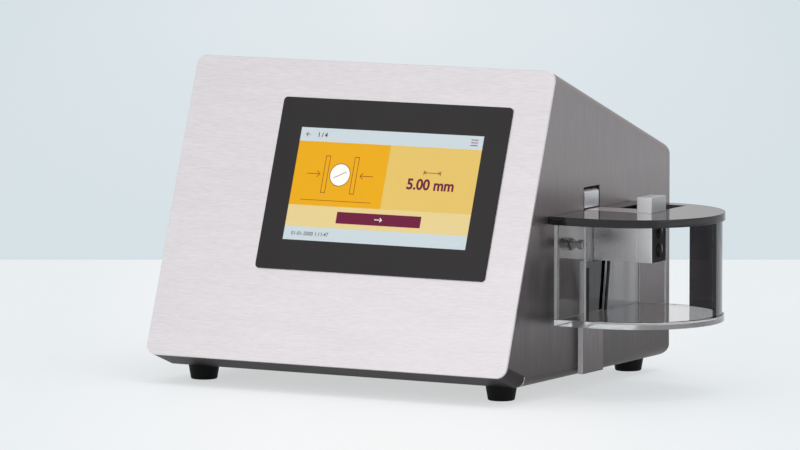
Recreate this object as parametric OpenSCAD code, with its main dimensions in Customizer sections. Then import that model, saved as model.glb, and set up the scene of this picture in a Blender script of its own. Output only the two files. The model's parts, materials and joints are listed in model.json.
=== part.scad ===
// Bench tester that crushes one tablet at a time between a driven jaw and a fixed anvil.
// Sizes are in millimetres. The pieces are drawn with the bench at z = 0, the middle of the
// front panel at x = 0 and its lower edge at y = 0, and place() then moves the origin to the
// middle of the whole instrument's footprint.

/* [Housing] */
// Width of the housing
body_w = 304.6; // [285:0.2:330]
// Height of the front panel, along its slope
panel_h = 231.5; // [222:0.5:245]
// Angle that the front panel leans back
panel_tilt = 19.8; // [17:0.1:22]
// Angle that the top cover falls towards the rear
top_fall = 20.6; // [17:0.1:22]
// Depth of the housing, from the panel's lower edge to the rear
body_d = 258.5; // [250:0.5:280]
// Length of the sloping chin below the front panel
chin_l = 29.9; // [24:0.1:34]
// Radius of the folds along the housing's edges
fold_r = 8; // [5:0.5:10]
// Thickness of the folded sheet
sheet_t = 1.5; // [1:0.1:2]
// Thickness of the front panel
panel_t = 2; // [1.5:0.1:3]
// Thickness of the base plate
base_t = 2; // [1.5:0.5:3]
// Width of the folded lips round the bottom and rear openings
lip_w = 34; // [30:1:40]

/* [Feet] */
// Height of the rubber feet
foot_h = 11.4; // [9:0.1:15]
// Diameter of a foot at the housing
foot_top_d = 24; // [20:0.5:28]
// Diameter of a foot at the bench
foot_bottom_d = 20; // [16:0.5:24]
// Distance of the feet from the middle of the housing
foot_x = 126.6; // [118:0.2:127]
// Place of the front feet behind the panel's lower edge
foot_front_y = 42; // [42:0.5:60]
// Distance of the rear feet from the rear of the housing
foot_rear_inset = 17; // [16:0.5:24]

/* [Display] */
// Width of the display glass
glass_w = 193.4; // [185:0.2:205]
// Height of the display glass
glass_h = 131.4; // [125:0.2:140]
// Thickness of the display glass
glass_t = 1.4; // [1:0.1:2]
// Distance of the glass from the panel's right edge
glass_right = 30.1; // [22:0.1:36]
// Distance of the glass from the panel's top edge
glass_top = 29.4; // [22:0.1:36]
// Width of the lit area of the screen
screen_w = 154.2; // [150:0.1:158]
// Height of the lit area of the screen
screen_h = 85.9; // [82:0.1:90]
// Border of the screen module round its lit area
screen_border = 6; // [4:0.5:9]
// Depth of the screen module
screen_d = 7; // [5:0.5:10]

/* [Jaw drive] */
// Place of the jaw's line behind the panel's lower edge
jaw_y = 133.5; // [128:0.5:140]
// Height of the beam's underside and of the drive base's top
beam_z = 97; // [92:0.5:102]
// Width of the beam and of the anvil
beam_w = 23; // [20:0.2:24]
// Height of the beam, up to the platform that the tablet lies on
beam_h = 36.9; // [34:0.1:38]
// Width of the moving jaw
jaw_w = 22.4; // [18:0.2:24]
// Height of the moving jaw
jaw_h = 14.5; // [12:0.1:15]
// Gap between the moving jaw and the platform
jaw_lift = 0.9; // [0.6:0.1:1.5]
// Gap round the jaw and the beam where they pass the side wall
wall_gap = 1; // [0.8:0.1:2]
// Travel of the moving jaw
jaw_travel = 43; // [30:0.5:43]
// Opening between the jaw at rest and the anvil
test_gap = 43.7; // [43.2:0.1:46]
// Thickness of the anvil, along the jaw's line
anvil_t = 12.4; // [10:0.2:16]
// Height of the anvil above the platform
anvil_rise = 11.3; // [8:0.1:14]
// Height of the lead screw's axis above the drive base
screw_rise = 68; // [66:0.5:70]
// Diameter of the lead screw
screw_d = 8; // [6:0.5:10]
// Diameter of the two guide rods
rod_d = 8; // [6:0.5:10]
// Distance of each guide rod from the lead screw
rod_offset = 26; // [24:0.5:30]
// Width across the stepper motor
motor_w = 42.3; // [39:0.1:45]
// Length of the stepper motor
motor_l = 40; // [30:1:48]
// Radial clearance of a running fit
run_gap = 0.05; // [0.03:0.01:0.08]
// Radial clearance of a part that is fixed in its hole
seat_gap = 0.03; // [0.02:0.01:0.05]

/* [Test station] */
// Place of the round tray's centre behind the panel's lower edge
tray_y = 131.5; // [130:0.5:134]
// Distance of the round tray's centre from the side wall
tray_reach = 38.2; // [36:0.2:42]
// Radius of the clear bottom plate
tray_r = 65; // [62:0.5:68]
// Overhang of the tinted lid past the bottom plate
lid_overhang = 0.6; // [0.4:0.1:2]
// Height of the bottom plate's underside
tray_z = 53.5; // [48:0.5:60]
// Thickness of the bottom plate
tray_t = 5; // [4:0.5:7]
// Thickness of the clear back plate and side walls
wall_t = 3; // [2:0.5:4]
// Length of each straight side wall
side_l = 22.2; // [18:0.2:30]
// Thickness of the tinted lid
lid_t = 6; // [4:0.5:8]
// Thickness of the curved shield
shield_t = 2.8; // [2:0.1:3.2]
// First angle of the curved shield, from the tray's outward axis
shield_from = 5; // [3:1:8]
// Last angle of the curved shield
shield_to = 77; // [60:1:80]
// Depth of the grooves that guide the shield
groove_d = 1.5; // [1:0.1:2]
// Width of the support bar under the beam
bar_w = 32; // [28:0.5:34]
// Thickness of the support bar
bar_t = 4.5; // [4:0.1:6]
// Place of the support bar behind the panel's lower edge
bar_y = 128; // [127:0.5:130]
// Height of the support bar's lower end
bar_z = 12.9; // [12.2:0.1:20]
// Distance of the two tray screws from the tray's middle line
tray_screw_y = 40.5; // [36:0.5:46]
// Height of the two tray screws
tray_screw_z = 111.7; // [106:0.1:116]

/* [Hidden] */
$fn = 72;

past = 1;
wall_x = body_w / 2;
chin_y = chin_l * cos(panel_tilt);
front_z = foot_h + chin_l * sin(panel_tilt);
chin_band = fold_r + 0.6;
chin_seam = 1;
panel_top = [panel_h * sin(panel_tilt), front_z + panel_h * cos(panel_tilt)];
rear_z = panel_top.y - (body_d - panel_top.x) * tan(top_fall);
// Corners of the side view as [y, z], against the clock from the panel's lower edge.
side_view = [[0, front_z], [chin_y, foot_h], [body_d, foot_h], [body_d, rear_z], panel_top];
floor_z = foot_h + sheet_t;
deck_z = floor_z + base_t;

glass_x = wall_x - glass_right - glass_w / 2;
glass_y = panel_h - glass_top - glass_h / 2;
module_w = screen_w + 2 * screen_border;
module_h = screen_h + 2 * screen_border;
frame_w = 10;
frame_t = 4;

foot_rear_y = body_d - foot_rear_inset;
foot_places = [[-foot_x, foot_front_y], [foot_x, foot_front_y],
    [-foot_x, foot_rear_y], [foot_x, foot_rear_y]];
foot_screw_r = 2;
foot_head_r = 4.5;
foot_pocket = 5;

platform_z = beam_z + beam_h;
jaw_z = platform_z + jaw_lift;
screw_z = beam_z + screw_rise;
anvil_x = wall_x + test_gap;
beam_inside = 40;
beam_x = wall_x - beam_inside;
jaw_bevel = 3;
anvil_screw_zs = [9, 23.2];
anvil_head_r = 5;
anvil_pocket_r = 5.5;
anvil_pocket = 6.5;
anvil_shank_r = 3;
anvil_shank_l = 20;
beam_screw_r = 2.5;
beam_screw_l = 12;
bar_screw_r = 2;
bar_screw_rise = [10, 32];
rear_screw_r = 1.5;
rear_screw_l = 4;
rear_head_h = 1.6;
drive_base_t = 8;
drive_base_l = 198;
drive_base_side = 19.5;
drive_base_w = 2 * (rod_offset + drive_base_side);
drive_wall_gap = 2.8;
drive_base_end = wall_x - sheet_t - drive_wall_gap;
drive_base_x = drive_base_end - drive_base_l;
pillar_r = 6;
pillar_inset = 10;
block_side = 10;
block_w = 2 * (rod_offset + block_side);
block_rise = 15;
block_top = screw_z + block_rise;
rear_block_t = 10;
front_block_t = 12;
front_block_inset = 20.3;
front_block_x = wall_x - front_block_inset;
block_span = 104;
rear_block_x = front_block_x - block_span;
bearing_r = 11;
bearing_w = 7;
motor_plate_t = 4;
motor_plate_side = 4;
motor_plate_rise = 2;
motor_foot_l = 24;
motor_space = 36;
motor_face_x = rear_block_x - motor_space;
motor_boss_r = 11;
motor_boss_h = 2;
motor_shaft_r = 2.5;
motor_shaft_l = 20;
coupling_r = 10;
coupling_l = 25;
coupling_gap = 8;
coupling_mid = 13;
coupling_x = motor_face_x + coupling_gap;
carriage_l = 24;
carriage_gap = 5;
carriage_x = front_block_x - jaw_travel - carriage_l - carriage_gap;
carriage_arm = 12;
carriage_h = 28;
bush_wall = 2;
nut_r = 8;
nut_flange_r = 11;
nut_flange_t = 3;
switch_size = [10, 14, 16];
switch_drop = 34;
cell_l = 20;
cell_hole_r = 4;
jaw_x = carriage_x + carriage_arm + cell_l;

tray_x = wall_x + tray_reach;
back_x = wall_x + bar_t;
tray_top = platform_z - lid_t;
lid_r = tray_r + lid_overhang;
lid_gap = 0.5;
lid_slot_gap = 0.8;
lid_drop_x = 16;
lid_drop_l = 36;
lid_drop_y = 38;
shield_inset = 1.5;
shield_r = tray_r - shield_inset;
groove_gap = 0.3;
tray_screw_r = 2;
tray_screw_spots = [tray_y - tray_screw_y, tray_y + tray_screw_y];
spacer_r = 5;
back_slot_gap = 1;
strip_t = 1.4;
strip_w = 4.4;
lead_r = 1.2;
lead_y = 4;
lead_lean = 8;

rear_open_x = wall_x - lip_w / 2;
rear_margin = 4;
rear_open_z0 = foot_h + lip_w / 2 + rear_margin;
rear_open_z1 = rear_z - lip_w / 2 - rear_margin;
rear_edge = 8;
inlet_x = -96;
inlet_rise = 26;
inlet_z = rear_open_z0 + inlet_rise;
inlet_w = 27;
inlet_h = 20;
inlet_d = 22;
inlet_flange = 4;
inlet_lip = 2;
inlet_socket = [20, 13, 16];
rocker_apart = 38;
rocker_x = inlet_x + rocker_apart;
rocker_w = 13;
rocker_h = 21;
rocker_r = 11.5;
rocker_proud = 3.5;
port_x = -12;
port_w = 17;
port_h = 15;
port_d = 20;
port_hole = [12, 11, 12];
vent_x = 28;
vent_w = 4;
vent_h = 26;
vent_pitch = 9;
vent_rise = 34;
vents = 10;

board_w = 106;
board_d = 84;
board_t = 1.6;
board_gap = 6;
board_x = drive_base_end - pillar_inset - pillar_r - board_gap - board_w;
board_y = 60;
// Corner and size of each block on the board.
board_chips = [[[18, 20], [24, 24, 3]], [[62, 14], [16, 30, 5]], [[12, 62], [70, 12, 9]]];
standoff_h = 8;
standoff_r = 3;
standoff_inset = 5;
supply_d = 126;
supply_h = 30;
supply_wall_gap = 18;
supply_gap = 4.3;
supply_x = -wall_x + supply_wall_gap;
supply_w = drive_base_x + pillar_inset - pillar_r - supply_gap - supply_x;
supply_y = 60;

steel = [0.60, 0.59, 0.60];
light_steel = [0.86, 0.85, 0.87];
dark_steel = [0.24, 0.23, 0.24];
black = [0.09, 0.09, 0.10];
clear = [0.85, 0.90, 0.92, 0.35];
smoke = [0.16, 0.14, 0.15, 0.6];

rear_reach = body_d + max(sheet_t + inlet_lip, rocker_proud);
footprint_mid = [(tray_x + lid_r - wall_x) / 2, rear_reach / 2];

// Moves a piece from the drawing's origin to the instrument's.
module place() {
    translate([-footprint_mid.x, -footprint_mid.y, 0]) children();
}

// One unit long, along the edge that leaves corner i.
function edge_way(p, i) = let (e = p[(i + 1) % len(p)] - p[i]) e / norm(e);
// Corner i of a shape whose edges are moved inwards, each by its own distance in d.
function inner_corner(p, i, d) = let (k = (i + len(p) - 1) % len(p), u = edge_way(p, k),
    v = edge_way(p, i)) p[i] + (d[k] * v - d[i] * u) / cross(u, v);
function inner_shape(p, d) = [for (i = [0:len(p) - 1]) inner_corner(p, i, d)];
// Distance from a corner to where a fillet of radius r starts.
function fillet_reach(p, i, r) = let (k = (i + len(p) - 1) % len(p), u = edge_way(p, k),
    v = edge_way(p, i)) r * tan(acos(u * v) / 2);
function same(value, count) = [for (i = [1:count]) value];

// Flat shape with a fillet of radius r[i] at corner i.
module rounded_shape(p, r) {
    n = len(p);
    polygon([for (i = [0:n - 1]) let (t = fillet_reach(p, i, r[i])) each r[i] > 0
        ? [p[i] - edge_way(p, (i + n - 1) % n) * t, p[i] + edge_way(p, i) * t] : [p[i]]]);
    for (i = [0:n - 1]) if (r[i] > 0)
        translate(inner_corner(p, i, same(r[i], n))) circle(r[i]);
}

module rounded_plate(w, h, r) {
    rounded_shape([[-w / 2, -h / 2], [w / 2, -h / 2], [w / 2, h / 2], [-w / 2, h / 2]],
        same(r, 4));
}

// Side view carried across the whole width.
module across(w) {
    translate([-w / 2, 0, 0]) rotate([90, 0, 90]) linear_extrude(w) children();
}

// Places a flat drawing on the front panel's outer face, with z pointing out of it.
module on_panel() {
    translate([0, 0, front_z]) rotate([90 - panel_tilt, 0, 0]) children();
}

// Long block whose two lower edges are rounded; the inset d makes its inner copy.
module trough(d) {
    tall = 2 * panel_h;
    half = wall_x - fold_r;
    translate([0, 2 * body_d, 0]) rotate([90, 0, 0]) linear_extrude(3 * body_d) {
        translate([-wall_x + d, fold_r]) square([body_w - 2 * d, tall]);
        translate([-half, d]) square([2 * half, tall]);
        for (x = [-half, half]) translate([x, fold_r]) circle(fold_r - d);
    }
}

// The housing's outer form, and with an inset d the space inside the sheet.
module housing_form(d, front) {
    edges = [d, d, d, d, front];
    r = fold_r - d;
    intersection() {
        across(body_w - 2 * d) rounded_shape(inner_shape(side_view, edges), [0, r, r, r, 0]);
        translate([0, 0, foot_h]) trough(d);
        translate([0, 0, front_z]) rotate([-panel_tilt, 0, 0]) trough(d);
        translate([0, panel_top.x, panel_top.y]) rotate([-top_fall, 0, 0]) mirror([0, 0, 1])
            trough(d);
    }
}

// Everything in front of the sheet housing's front rim.
module before_panel() {
    on_panel() translate([-body_w, -body_d, -panel_t]) cube([2 * body_w, 3 * body_d, body_d]);
}

module housing_sheet() {
    difference() {
        housing_form(0, 0);
        housing_form(sheet_t, -past);
        before_panel();
    }
}

// Strip along the chin, up to the mitre just behind the corner where the bottom starts.
module chin_zone() {
    u = edge_way(side_view, 0);
    out = [u.y, -u.x];
    mitre = inner_corner(side_view, 1, same(1, 5)) - side_view[1];
    corner = side_view[1] + [chin_seam, 0];
    front = side_view[0] - u * foot_h;
    across(2 * body_w) polygon([front + out * foot_h, corner - mitre * foot_h * 2,
        corner + mitre * chin_band, front - out * chin_band]);
}

// Opening in the right side wall for the beam and the jaw above it.
module wall_opening() {
    high = jaw_z + jaw_h + wall_gap;
    translate([wall_x - 2 * sheet_t, jaw_y - beam_w / 2 - wall_gap, beam_z])
        cube([4 * sheet_t, beam_w + 2 * wall_gap, high - beam_z]);
}

module front_panel() color(light_steel) {
    difference() {
        on_panel() translate([0, panel_h / 2, -panel_t]) linear_extrude(panel_t)
            rounded_plate(body_w, panel_h, fold_r);
        on_panel() translate([glass_x - module_w / 2 - wall_gap,
            glass_y - module_h / 2 - wall_gap, -2 * panel_t])
            cube([module_w + 2 * wall_gap, module_h + 2 * wall_gap, 3 * panel_t]);
    }
}

module front_frame() color(dark_steel) {
    gap = sheet_t + 0.4;
    w = body_w - 2 * gap;
    h = panel_h - 2 * gap - frame_t * tan(top_fall);
    on_panel() translate([0, gap + h / 2, -panel_t - frame_t]) difference() {
        linear_extrude(frame_t) rounded_plate(w, h, fold_r - sheet_t);
        translate([-w / 2 + frame_w, -h / 2 + frame_w, -past])
            cube([w - 2 * frame_w, h - 2 * frame_w, frame_t + 2 * past]);
    }
}

module chin_cover() color(dark_steel) {
    intersection() {
        housing_sheet();
        chin_zone();
    }
}

module body_shell() color(steel) {
    bottom_x = wall_x - lip_w;
    difference() {
        housing_sheet();
        chin_zone();
        wall_opening();
        translate([-bottom_x, chin_y + lip_w / 2, foot_h - past])
            cube([2 * bottom_x, body_d - chin_y - lip_w, sheet_t + 2 * past]);
        translate([-rear_open_x, body_d - 2 * sheet_t, rear_open_z0])
            cube([2 * rear_open_x, 4 * sheet_t, rear_open_z1 - rear_open_z0]);
        for (p = foot_places) translate([p.x, p.y, foot_h - past])
            cylinder(r = foot_screw_r + run_gap, h = sheet_t + 2 * past);
        for (y = tray_screw_spots) translate([wall_x - 2 * sheet_t, y, tray_screw_z])
            rotate([0, 90, 0]) cylinder(r = tray_screw_r + run_gap, h = 4 * sheet_t);
        bar_screw_places() translate([0, 0, -4 * sheet_t])
            cylinder(r = bar_screw_r + run_gap, h = 6 * sheet_t);
        rear_screw_places() cylinder(r = rear_screw_r + run_gap, h = 4 * sheet_t, center = true);
    }
}

module base_plate() color(dark_steel) {
    half = wall_x - fold_r;
    y0 = chin_y + fold_r;
    difference() {
        translate([-half, y0, floor_z]) cube([2 * half, body_d - fold_r - y0, base_t]);
        for (p = foot_places) translate([p.x, p.y, floor_z - past])
            cylinder(r = foot_screw_r + run_gap, h = base_t + 2 * past);
    }
}

module rear_screw_places() {
    for (x = [-1, 0, 1], z = [rear_open_z0 - rear_edge / 2, rear_open_z1 + rear_edge / 2])
        translate([x * (rear_open_x - rear_edge), body_d, z]) rotate([-90, 0, 0]) children();
}

module rear_panel() color(steel) {
    w = 2 * (rear_open_x + rear_edge);
    h = rear_open_z1 - rear_open_z0 + 2 * rear_edge;
    z0 = rear_open_z0 - rear_edge;
    difference() {
        translate([0, body_d + sheet_t, z0 + h / 2]) rotate([90, 0, 0])
            linear_extrude(sheet_t) rounded_plate(w, h, rear_edge / 2);
        rear_screw_places() cylinder(r = rear_screw_r + run_gap, h = 4 * sheet_t, center = true);
        rear_cut(inlet_x, inlet_z, inlet_w, inlet_h);
        rear_cut(rocker_x, inlet_z, rocker_w + 2, rocker_h + 2);
        rear_cut(port_x, inlet_z, port_w, port_h);
        for (i = [0:vents - 1], j = [0, 1])
            translate([vent_x + i * vent_pitch, body_d - past, inlet_z + j * vent_rise])
                cube([vent_w, sheet_t + 2 * past, vent_h]);
    }
}

module rear_cut(x, z, w, h) {
    translate([x - w / 2, body_d - past, z - h / 2]) cube([w, sheet_t + 2 * past, h]);
}

module rear_screws() color(light_steel) {
    rear_screw_places() {
        translate([0, 0, sheet_t]) cylinder(r = 2 * rear_screw_r, h = rear_head_h);
        translate([0, 0, -rear_screw_l])
            cylinder(r = rear_screw_r, h = rear_screw_l + sheet_t + 0.2);
    }
}

// Tapered rubber foot with a pocket for its screw; i counts round the four places.
module foot(i) color(black) {
    lip = 1.2;
    translate([foot_places[i].x, foot_places[i].y, 0]) difference() {
        rotate_extrude() polygon([[0, 0], [foot_bottom_d / 2 - lip, 0],
            [foot_bottom_d / 2, lip], [foot_top_d / 2, foot_h], [0, foot_h]]);
        translate([0, 0, -past]) cylinder(r = foot_head_r + 0.5, h = foot_pocket + past);
        cylinder(r = foot_screw_r + run_gap, h = foot_h + past);
    }
}
module foot_front_left() { foot(0); }
module foot_front_right() { foot(1); }
module foot_rear_left() { foot(2); }
module foot_rear_right() { foot(3); }

module foot_screws() color(light_steel) {
    head = 3;
    for (p = foot_places) translate([p.x, p.y, foot_pocket]) {
        translate([0, 0, -head]) cylinder(r = foot_head_r, h = head);
        cylinder(r = foot_screw_r, h = deck_z - foot_pocket + 3);
        translate([0, 0, deck_z - foot_pocket]) cylinder(r = 2 * foot_screw_r, h = 3, $fn = 6);
    }
}

module display_glass() color(black) {
    on_panel() translate([glass_x, glass_y, 0]) linear_extrude(glass_t)
        rounded_plate(glass_w, glass_h, 3);
}

module screen_module() color([0.93, 0.75, 0.30]) {
    on_panel() translate([glass_x - module_w / 2, glass_y - module_h / 2, -screen_d])
        cube([module_w, module_h, screen_d]);
}

// Four clips that hold the screen module against the back of the panel.
module screen_clamps() color(dark_steel) {
    wide = 9;
    foot_l = 6;
    hook_l = 4;
    t = 1.6;
    for (s = [0, 1], y = [-0.3, 0.3]) on_panel()
        translate([glass_x, glass_y + y * module_h - wide / 2, -screen_d - t])
            mirror([s, 0, 0]) translate([module_w / 2, 0, 0]) {
                translate([wall_gap, 0, 0]) cube([foot_l, wide, screen_d - panel_t + t]);
                translate([-hook_l, 0, 0]) cube([hook_l + wall_gap + foot_l, wide, t]);
            }
}

module drive_base() color(light_steel) {
    difference() {
        translate([drive_base_x, jaw_y - drive_base_w / 2, beam_z - drive_base_t])
            cube([drive_base_l, drive_base_w, drive_base_t]);
        beam_screw_places() translate([0, 0, -drive_base_t - past])
            cylinder(r = beam_screw_r + run_gap, h = drive_base_t + 2 * past);
    }
}

module drive_pillars() color(steel) {
    y = drive_base_w / 2 - pillar_inset;
    for (x = [drive_base_x + pillar_inset, drive_base_end - pillar_inset], s = [-1, 1])
        translate([x, jaw_y + s * y, deck_z])
            cylinder(r = pillar_r, h = beam_z - drive_base_t - deck_z);
}

module motor_bracket() color(steel) {
    w = motor_w + 2 * motor_plate_side;
    top = screw_z + motor_w / 2 + motor_plate_rise;
    difference() {
        union() {
            translate([motor_face_x, jaw_y - w / 2, beam_z])
                cube([motor_plate_t, w, top - beam_z]);
            translate([motor_face_x, jaw_y - w / 2, beam_z])
                cube([motor_foot_l, w, motor_plate_t]);
        }
        translate([motor_face_x - past, jaw_y, screw_z]) rotate([0, 90, 0])
            cylinder(r = motor_boss_r + seat_gap, h = motor_plate_t + 2 * past);
    }
}

module stepper_motor() color(black) {
    difference() {
        union() {
            translate([motor_face_x - motor_l, jaw_y - motor_w / 2, screw_z - motor_w / 2])
                cube([motor_l, motor_w, motor_w]);
            translate([motor_face_x - past, jaw_y, screw_z]) rotate([0, 90, 0])
                cylinder(r = motor_boss_r, h = motor_boss_h + past);
        }
        translate([motor_face_x - motor_l / 2, jaw_y, screw_z]) rotate([0, 90, 0])
            cylinder(r = motor_shaft_r + run_gap, h = motor_l);
    }
}

module on_screw_axis(x) {
    translate([x, jaw_y, screw_z]) rotate([0, 90, 0]) children();
}

module motor_shaft() color(light_steel) {
    on_screw_axis(motor_face_x - motor_l / 2 + 1)
        cylinder(r = motor_shaft_r, h = motor_l / 2 - 1 + motor_shaft_l);
}

module shaft_coupling() color([0.75, 0.76, 0.78]) {
    on_screw_axis(coupling_x) difference() {
        cylinder(r = coupling_r, h = coupling_l);
        translate([0, 0, -past])
            cylinder(r = motor_shaft_r + seat_gap, h = coupling_mid + past);
        translate([0, 0, coupling_mid]) cylinder(r = screw_d / 2 + seat_gap, h = coupling_l);
        for (z = [7.5, 17.5]) translate([0, 0, z]) difference() {
            cylinder(r = coupling_r + past, h = 0.8);
            translate([0, 0, -past]) cylinder(r = coupling_r - 3, h = 3);
        }
    }
}

module lead_screw() color(light_steel) {
    start = coupling_x + coupling_mid + 0.5;
    on_screw_axis(start)
        cylinder(r = screw_d / 2, h = front_block_x + front_block_t - start - 0.5);
}

module rod_places(x) {
    for (s = [-1, 1]) translate([x, jaw_y + s * rod_offset, screw_z]) rotate([0, 90, 0])
        children();
}

// Upright block with holes for the lead screw, its bearing and both guide rods.
module bearing_block(x, t, pocket_x) {
    difference() {
        translate([x, jaw_y - block_w / 2, beam_z]) cube([t, block_w, block_top - beam_z]);
        rod_places(x - past) cylinder(r = rod_d / 2 + seat_gap, h = t + 2 * past);
        on_screw_axis(x - past) cylinder(r = screw_d / 2 + 1, h = t + 2 * past);
        on_screw_axis(pocket_x) cylinder(r = bearing_r + seat_gap, h = bearing_w + past);
        children();
    }
}

module rear_bearing_block() color(light_steel) {
    bearing_block(rear_block_x, rear_block_t, rear_block_x - past);
}

module front_bearing_block() color(light_steel) {
    window = beam_w / 2 + 2.5;
    bearing_block(front_block_x, front_block_t, front_block_x + front_block_t - bearing_w)
        translate([front_block_x - past, jaw_y - window, beam_z - past])
            cube([front_block_t + 2 * past, 2 * window, jaw_z + jaw_h + 1.5 - beam_z + past]);
}

module ball_bearing(x) color([0.70, 0.70, 0.72]) {
    on_screw_axis(x) difference() {
        cylinder(r = bearing_r, h = bearing_w);
        translate([0, 0, -past]) cylinder(r = screw_d / 2 + run_gap, h = bearing_w + 2 * past);
        for (z = [-past, bearing_w - 0.6]) translate([0, 0, z]) difference() {
            cylinder(r = bearing_r - 2, h = past + 0.6);
            translate([0, 0, -past]) cylinder(r = screw_d / 2 + 2, h = 4);
        }
    }
}
module rear_bearing() { ball_bearing(rear_block_x); }
module front_bearing() { ball_bearing(front_block_x + front_block_t - bearing_w); }

module guide_rod(s) color(light_steel) {
    translate([rear_block_x, jaw_y + s * rod_offset, screw_z]) rotate([0, 90, 0])
        cylinder(r = rod_d / 2, h = front_block_x + front_block_t - rear_block_x);
}
module guide_rod_left() { guide_rod(-1); }
module guide_rod_right() { guide_rod(1); }

module carriage() color([0.55, 0.56, 0.60]) {
    low = screw_z - carriage_h / 2;
    arm_w = jaw_w - 2;
    difference() {
        union() {
            translate([carriage_x, jaw_y - block_w / 2, low])
                cube([carriage_l, block_w, carriage_h]);
            translate([carriage_x, jaw_y - arm_w / 2, jaw_z])
                cube([carriage_arm, arm_w, low - jaw_z + past]);
        }
        rod_places(carriage_x - past)
            cylinder(r = rod_d / 2 + bush_wall + seat_gap, h = carriage_l + 2 * past);
        on_screw_axis(carriage_x - past) cylinder(r = nut_r + seat_gap, h = carriage_l + 2 * past);
    }
}

module drive_nut() color([0.72, 0.58, 0.30]) {
    on_screw_axis(carriage_x) difference() {
        union() {
            cylinder(r = nut_r, h = carriage_l);
            translate([0, 0, -nut_flange_t]) cylinder(r = nut_flange_r, h = nut_flange_t);
        }
        translate([0, 0, -nut_flange_t - past])
            cylinder(r = screw_d / 2 + run_gap, h = carriage_l + nut_flange_t + 2 * past);
    }
}

module slide_bushes() color([0.72, 0.58, 0.30]) {
    rod_places(carriage_x) difference() {
        cylinder(r = rod_d / 2 + bush_wall, h = carriage_l);
        translate([0, 0, -past]) cylinder(r = rod_d / 2 + run_gap, h = carriage_l + 2 * past);
    }
}

module load_cell() color([0.80, 0.80, 0.82]) {
    w = jaw_w - 2;
    difference() {
        translate([carriage_x + carriage_arm, jaw_y - w / 2, jaw_z])
            cube([cell_l, w, jaw_h]);
        for (d = [-2, 2]) translate([carriage_x + carriage_arm + cell_l / 2 + d,
            jaw_y - w, jaw_z + jaw_h / 2]) rotate([-90, 0, 0]) cylinder(r = cell_hole_r, h = 2 * w);
    }
}

module moving_jaw() color(light_steel) {
    across_jaw = [[jaw_x, 0], [wall_x, 0], [wall_x, jaw_h - jaw_bevel],
        [wall_x - jaw_bevel, jaw_h], [jaw_x, jaw_h]];
    translate([0, jaw_y + jaw_w / 2, jaw_z]) rotate([90, 0, 0]) linear_extrude(jaw_w)
        polygon(across_jaw);
}

module home_switch() color(black) {
    translate([rear_block_x + rear_block_t, jaw_y - switch_size.y / 2, screw_z - switch_drop])
        cube(switch_size);
}

module anvil_screw_places(x) {
    for (z = anvil_screw_zs) translate([x, jaw_y, beam_z + z]) rotate([0, 90, 0]) children();
}

module anvil_beam() color(light_steel) {
    difference() {
        translate([beam_x, jaw_y - beam_w / 2, beam_z]) cube([anvil_x - beam_x, beam_w, beam_h]);
        anvil_screw_places(anvil_x - anvil_shank_l)
            cylinder(r = anvil_shank_r + run_gap, h = anvil_shank_l + past);
        beam_screw_places() translate([0, 0, -past])
            cylinder(r = beam_screw_r + run_gap, h = beam_screw_l + past);
    }
}

module anvil() color(light_steel) {
    c = 0.5;
    half = beam_w / 2;
    difference() {
        translate([0, 0, beam_z]) linear_extrude(beam_h + anvil_rise) polygon([
            [anvil_x, jaw_y - half], [anvil_x + anvil_t - c, jaw_y - half],
            [anvil_x + anvil_t, jaw_y - half + c], [anvil_x + anvil_t, jaw_y + half - c],
            [anvil_x + anvil_t - c, jaw_y + half], [anvil_x, jaw_y + half]]);
        anvil_screw_places(anvil_x - past)
            cylinder(r = anvil_shank_r + run_gap, h = anvil_t + 2 * past);
        anvil_screw_places(anvil_x + anvil_t - anvil_pocket)
            cylinder(r = anvil_pocket_r, h = anvil_pocket + past);
    }
}

// Cap screw along +z, with its head's underside at z = 0 and a hexagon socket.
module cap_screw(head_r, head_h, shank_r, shank_l) {
    difference() {
        union() {
            cylinder(r = head_r, h = head_h);
            translate([0, 0, -shank_l]) cylinder(r = shank_r, h = shank_l + past / 2);
        }
        translate([0, 0, head_h / 2]) cylinder(r = head_r * 0.57, h = head_h, $fn = 6);
    }
}

module anvil_screws() color([0.45, 0.44, 0.45]) {
    anvil_screw_places(anvil_x + anvil_t - anvil_pocket)
        cap_screw(anvil_head_r, 6, anvil_shank_r, anvil_t - anvil_pocket + anvil_shank_l - 1);
}

module beam_screw_places() {
    for (x = [beam_x + 8, drive_base_end - 8]) translate([x, jaw_y, beam_z]) children();
}

module beam_screws() color([0.45, 0.44, 0.45]) {
    beam_screw_places() translate([0, 0, -drive_base_t]) mirror([0, 0, 1])
        cap_screw(4.5, 5, beam_screw_r, drive_base_t + beam_screw_l - 1);
}

module bar_screw_places() {
    for (z = bar_screw_rise) translate([wall_x, bar_y, bar_z + z]) rotate([0, 90, 0]) children();
}

module support_bar() color(steel) {
    difference() {
        translate([wall_x, bar_y - bar_w / 2, bar_z]) cube([bar_t, bar_w, beam_z - bar_z]);
        bar_screw_places() translate([0, 0, -past]) cylinder(r = bar_screw_r + run_gap,
            h = bar_t - past);
    }
}

// Screws that come from inside the housing, so that none shows on the bar's outer face.
module bar_screws() color([0.45, 0.44, 0.45]) {
    bar_screw_places() mirror([0, 0, 1]) translate([0, 0, sheet_t])
        cap_screw(3.5, 3, bar_screw_r, bar_t - 3 + sheet_t);
}

// Outline of a plate with two straight sides and a half round end.
module station_outline(r, x0) {
    translate([x0, tray_y - r]) square([tray_x - x0, 2 * r]);
    intersection() {
        translate([tray_x, tray_y]) circle(r, $fn = 120);
        translate([tray_x - past, tray_y - 2 * r]) square([2 * r, 4 * r]);
    }
}

module groove(z, h) {
    translate([tray_x, tray_y, z]) difference() {
        cylinder(r = shield_r + groove_gap, h = h, $fn = 120);
        translate([0, 0, -past]) cylinder(r = shield_r - shield_t - groove_gap, h = h + 2 * past,
            $fn = 120);
        translate([-4 * tray_r, -2 * tray_r, -past]) cube([4 * tray_r, 4 * tray_r, h + 2 * past]);
    }
}

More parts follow.
